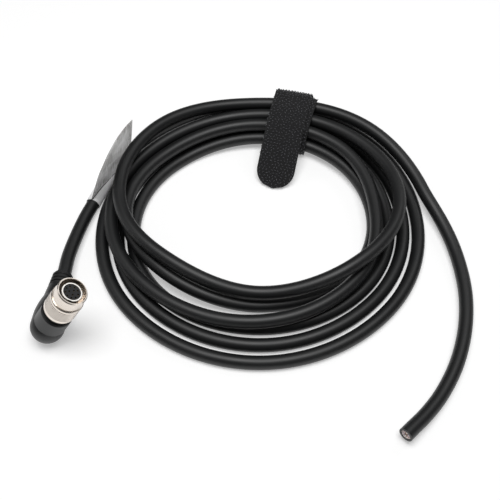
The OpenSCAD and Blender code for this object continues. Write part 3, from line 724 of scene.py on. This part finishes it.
def turned_metal(name, colour_low, colour_high, rough_low, rough_high, ring_mm):
    """Plated metal with turning rings about the plug's axis."""
    material, tree, shader = finish_of(name, {"Metallic": 1})
    place = add(tree, "ShaderNodeTexCoord").outputs["Object"]
    inverse = plug_frame.inverted()
    local = add(tree, "ShaderNodeMapping", {"Vector": place, "Location": inverse.translation,
                                            "Rotation": inverse.to_euler()})
    apart = add(tree, "ShaderNodeSeparateXYZ", {0: local.outputs["Vector"]})
    rings = add(tree, "ShaderNodeTexNoise", {"W": apart.outputs["Z"], "Scale": 1000 / ring_mm, "Detail": 3},
                noise_dimensions="1D")
    smudge = add(tree, "ShaderNodeTexNoise", {"Vector": place, "Scale": SMUDGES_PER_M, "Detail": 1})
    tint = add(tree, "ShaderNodeMixRGB", {"Fac": smudge.outputs["Fac"], "Color1": linear(colour_low),
                                          "Color2": linear(colour_high)})
    rough = add(tree, "ShaderNodeMapRange", {"Value": smudge.outputs["Fac"], "To Min": rough_low,
                                             "To Max": rough_high})
    bump = add(tree, "ShaderNodeBump", {"Height": rings.outputs["Fac"], "Strength": 0.06,
                                        "Distance": 0.00005})
    tree.links.new(tint.outputs["Color"], shader.inputs["Base Color"])
    tree.links.new(rough.outputs["Result"], shader.inputs["Roughness"])
    tree.links.new(bump.outputs["Normal"], shader.inputs["Normal"])
    return material


# Satin nickel gives the sleeve soft, warm streaks; bright nickel gives the barrel sharper, whiter ones;
# and the steel of the spring and the rings is greyer.
satin_nickel = turned_metal("satin_nickel_plate", "#d8cec4", "#efe7de", 0.22, 0.34, 0.5)
bright_nickel = turned_metal("bright_nickel_plate", "#dcd8d2", "#f6f3ee", 0.18, 0.3, 0.3)
spring_steel = turned_metal("bright_spring_steel", "#b5b3ae", "#d0cecb", 0.2, 0.35, 0.3)
print("plug's axis", [round(v, 4) for v in PLUG_AXIS])

# %% [markdown]
# ## Moulded pieces
# The elbow is black ABS with a fine spark-eroded grain, moulded, so it looks satin with soft grey highlights.
# The strain relief is a softer, duller rubber. The insert that holds the contacts is polyphenylene sulphide,
# a hard, dull, bluish-black plastic. The cores' PVC is smooth and pale, and the non-woven wrap round them is
# white and fibrous, so it hardly shines at all. Each grain is drawn at 0.3 to 0.6 mm, a few times the real
# one, so that it shows. The colour drifts over about 8 mm, as it does where a melt has flowed.

# %% Finish: moulded plastic and rubber
DRIFT_PER_M = 120


def moulded(name, colour_low, colour_high, rough_low, rough_high, grain_mm, depth_mm, ior):
    """A moulded polymer with a grain of a given size and depth."""
    material, tree, shader = finish_of(name, {"IOR": ior})
    place = add(tree, "ShaderNodeTexCoord").outputs["Object"]
    grain = add(tree, "ShaderNodeTexNoise", {"Vector": place, "Scale": 1000 / grain_mm, "Detail": 2})
    cloud = add(tree, "ShaderNodeTexNoise", {"Vector": place, "Scale": DRIFT_PER_M, "Detail": 3})
    tint = add(tree, "ShaderNodeMixRGB", {"Fac": cloud.outputs["Fac"], "Color1": linear(colour_low),
                                          "Color2": linear(colour_high)})
    rough = add(tree, "ShaderNodeMapRange", {"Value": cloud.outputs["Fac"], "To Min": rough_low,
                                             "To Max": rough_high})
    bump = add(tree, "ShaderNodeBump", {"Height": grain.outputs["Fac"], "Strength": 0.3,
                                        "Distance": depth_mm * MM})
    tree.links.new(tint.outputs["Color"], shader.inputs["Base Color"])
    tree.links.new(rough.outputs["Result"], shader.inputs["Roughness"])
    tree.links.new(bump.outputs["Normal"], shader.inputs["Normal"])
    return material


abs_black = moulded("grained_black_abs", "#0e0f10", "#18191a", 0.36, 0.48, 0.35, 0.03, 1.54)
relief_rubber = moulded("soft_black_rubber", "#0c0c0d", "#141415", 0.5, 0.65, 0.4, 0.03, 1.52)
insert_plastic = moulded("black_pps", "#050608", "#0b0d12", 0.5, 0.62, 0.6, 0.02, 1.6)
core_pvc = moulded("white_core_pvc", "#f0edea", "#fbf9f7", 0.35, 0.5, 0.5, 0.01, 1.53)
pink_pvc = moulded("pink_core_pvc", "#ecc9c6", "#f8dedb", 0.35, 0.5, 0.5, 0.01, 1.53)
lilac_pvc = moulded("lilac_core_pvc", "#cdc4dc", "#e2dbee", 0.35, 0.5, 0.5, 0.01, 1.53)
pale_wrap = moulded("white_nonwoven_wrap", "#ece6e3", "#fbf8f5", 0.7, 0.9, 0.3, 0.08, 1.5)
print("elbow's finish", abs_black.name)

# %% [markdown]
# ## Copper and gold
# The braid and the cores' strands are tinned copper: pale, with a trace of pink where they were cut.
# The filling in the middle is bare copper that has been in the air for a while, so it is dull and brown.
# The contacts are gold plated, because gold stays clean at low contact force.

# %% Finish: copper, tinned braid and gold


def plain_metal(name, colour_low, colour_high, roughness, grain_mm):
    """A small metal piece with a fine variation of colour and surface."""
    material, tree, shader = finish_of(name, {"Metallic": 1, "Roughness": roughness})
    grain = add(tree, "ShaderNodeTexNoise", {"Vector": add(tree, "ShaderNodeTexCoord").outputs["Object"],
                                             "Scale": 1000 / grain_mm, "Detail": 3})
    tint = add(tree, "ShaderNodeMixRGB", {"Fac": grain.outputs["Fac"], "Color1": linear(colour_low),
                                          "Color2": linear(colour_high)})
    bump = add(tree, "ShaderNodeBump", {"Height": grain.outputs["Fac"], "Strength": 0.4, "Distance": 0.00005})
    tree.links.new(tint.outputs["Color"], shader.inputs["Base Color"])
    tree.links.new(bump.outputs["Normal"], shader.inputs["Normal"])
    return material


copper = plain_metal("cut_copper_strand", "#5d463a", "#8d7465", 0.5, 0.2)
braid = plain_metal("tinned_copper_braid", "#cbb8ae", "#efe3dc", 0.45, 0.25)
gold = plain_metal("gold_plate", "#c99a3f", "#f0cc7a", 0.22, 0.4)
print("metals", copper.name, braid.name, gold.name)

# %% [markdown]
# ## Finishes onto the CAD pieces
# The plug's rigid pieces and the cut end keep their CAD shape, and only their material changes.
# The plating, the grain and the smudges come from the finishes, so nothing is modelled twice.

# %% Dress the CAD nodes
dress = {
    "elbow_housing": abs_black, "strain_relief": relief_rubber, "back_shell": bright_nickel,
    "plug_barrel": bright_nickel, "coupling_sleeve": satin_nickel, "coupling_spring": spring_steel,
    "snap_ring": spring_steel, "lock_claws": bright_nickel, "front_insert": insert_plastic,
    "rear_insert": insert_plastic, "insert_ring": spring_steel, "contact_sockets": gold,
    "core_wires": core_pvc, "crimp_ferrule": spring_steel, "cable_entry": jacket, "end_jacket": jacket,
    "end_braid": braid, "end_wrap": pale_wrap, "end_cores": core_pvc, "end_strands": braid,
    "end_filler": copper}
for name, material in dress.items():
    data = nodes[name].data
    data.materials.clear()
    data.materials.append(material)
print(len(dress), "CAD pieces dressed")

# %% [markdown]
# The cores differ in colour so that a fitter can tell them apart. They are one CAD piece, so each face takes
# white, pink or lilac from the sixth of the cable's circle that it lies in, as seen along the cut end.

# %% Colours of the cores
CORE_COUNT = 6
cut_way = (route[-1] - route[-2]).normalized()
cut_side = cut_way.cross(Vector((0, 0, 1))).normalized()
cut_up = cut_side.cross(cut_way)
cores = nodes["end_cores"].data
cores.materials.append(pink_pvc)
cores.materials.append(lilac_pvc)
for face in cores.polygons:
    off = face.center - route[-1]
    turn = math.degrees(math.atan2(off.dot(cut_side), off.dot(cut_up)))
    face.material_index = round(turn / (360 / CORE_COUNT)) % CORE_COUNT % len(cores.materials)
print("core colours", [material.name for material in cores.materials])

# %% [markdown]
# ## Table
# The table is plain pale paper. It answers camera, mirror and see-through rays a little brighter than it is
# lit, so it reads as white and still keeps the object's shadow.

# %% Table
TABLE_HALF = 4
TABLE_GLOW = 0.36
floor_material = bpy.data.materials.new("white_paper_table")
floor_material.use_nodes = True
tree = floor_material.node_tree
tree.nodes.clear()
seen = add(tree, "ShaderNodeLightPath")
either = add(tree, "ShaderNodeMath", {0: seen.outputs["Is Camera Ray"], 1: seen.outputs["Is Glossy Ray"]},
             operation="MAXIMUM")
either = add(tree, "ShaderNodeMath", {0: either.outputs[0], 1: seen.outputs["Is Transmission Ray"]},
             operation="MAXIMUM")
paper = add(tree, "ShaderNodeBsdfDiffuse", {"Color": linear("#e4e4e4")})
glow = add(tree, "ShaderNodeEmission", {"Color": (1, 1, 1, 1), "Strength": TABLE_GLOW})
dark = add(tree, "ShaderNodeEmission", {"Color": (0, 0, 0, 1), "Strength": 0})
extra = add(tree, "ShaderNodeMixShader", {0: either.outputs[0], 1: dark.outputs[0], 2: glow.outputs[0]})
total = add(tree, "ShaderNodeAddShader", {0: paper.outputs[0], 1: extra.outputs[0]})
add(tree, "ShaderNodeOutputMaterial", {"Surface": total.outputs[0]})
corners = [Vector((x, y, 0)) * TABLE_HALF for x, y in ((-1, -1), (1, -1), (1, 1), (-1, 1))]
floor = new_piece("table", corners, [(0, 1, 2, 3)], [floor_material], smooth_faces=False)
print("table", 2 * TABLE_HALF, "m wide")

# %% [markdown]
# ## Room
# The room is a dim even white, which only fills the darkest sides. What the camera sees past the table is
# plain white.

# %% Room
ROOM_LIGHT = 0.1
world = bpy.data.worlds.new("soft_room")
bpy.context.scene.world = world
world.use_nodes = True
tree = world.node_tree
tree.nodes.clear()
seen = add(tree, "ShaderNodeLightPath")
room = add(tree, "ShaderNodeBackground", {"Color": (1, 1, 1, 1), "Strength": ROOM_LIGHT})
white = add(tree, "ShaderNodeBackground", {"Color": (1, 1, 1, 1), "Strength": 1})
sky = add(tree, "ShaderNodeMixShader", {0: seen.outputs["Is Camera Ray"], 1: room.outputs[0],
                                        2: white.outputs[0]})
add(tree, "ShaderNodeOutputWorld", {"Surface": sky.outputs[0]})
print("room", world.name)

# %% [markdown]
# ## Lights
# One large soft light hangs a metre above, a little to the camera's side of the coil's middle, and draws the
# long streaks on the cable. Two weaker ones, at the left and at the back right, give the turns their rims.

# %% Lights


def soft_light(name, size, power, where):
    """An area light that looks at the point the camera looks at."""
    data = bpy.data.lights.new(name, "AREA")
    data.shape = "RECTANGLE"
    data.size, data.size_y = size
    data.energy = power
    light = bpy.data.objects.new(name, data)
    light.location = where
    light.rotation_euler = (AIM - Vector(where)).to_track_quat("-Z", "Y").to_euler()
    bpy.context.scene.collection.objects.link(light)
    return light


lights = [soft_light("overhead", (0.8, 0.55), 8, (0.084, 0.0, 1.0)),
          soft_light("left_side", (0.4, 0.5), 0.6, (-0.75, 0.1, 0.45)),
          soft_light("right_back", (0.45, 0.45), 0.8, (0.66, 0.58, 0.62))]
print("lights", [light.name for light in lights])

# %% [markdown]
# ## Who goes with what
# Every piece rides on the plug's body. The cable stands for its CAD tubes, the strap and the film for theirs.

# %% Riders and replaced nodes
for piece, slot_name, replaced in ((cable, "cable_jacket", ["cable_lead", "cable_coil", "cable_tail"]),
                                   (strap, "tie_fabric", ["tie_hook_layer", "tie_loop_layer"]),
                                   (label, "label_film", ["flag_label"])):
    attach(piece, "plug")
    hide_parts(*replaced)
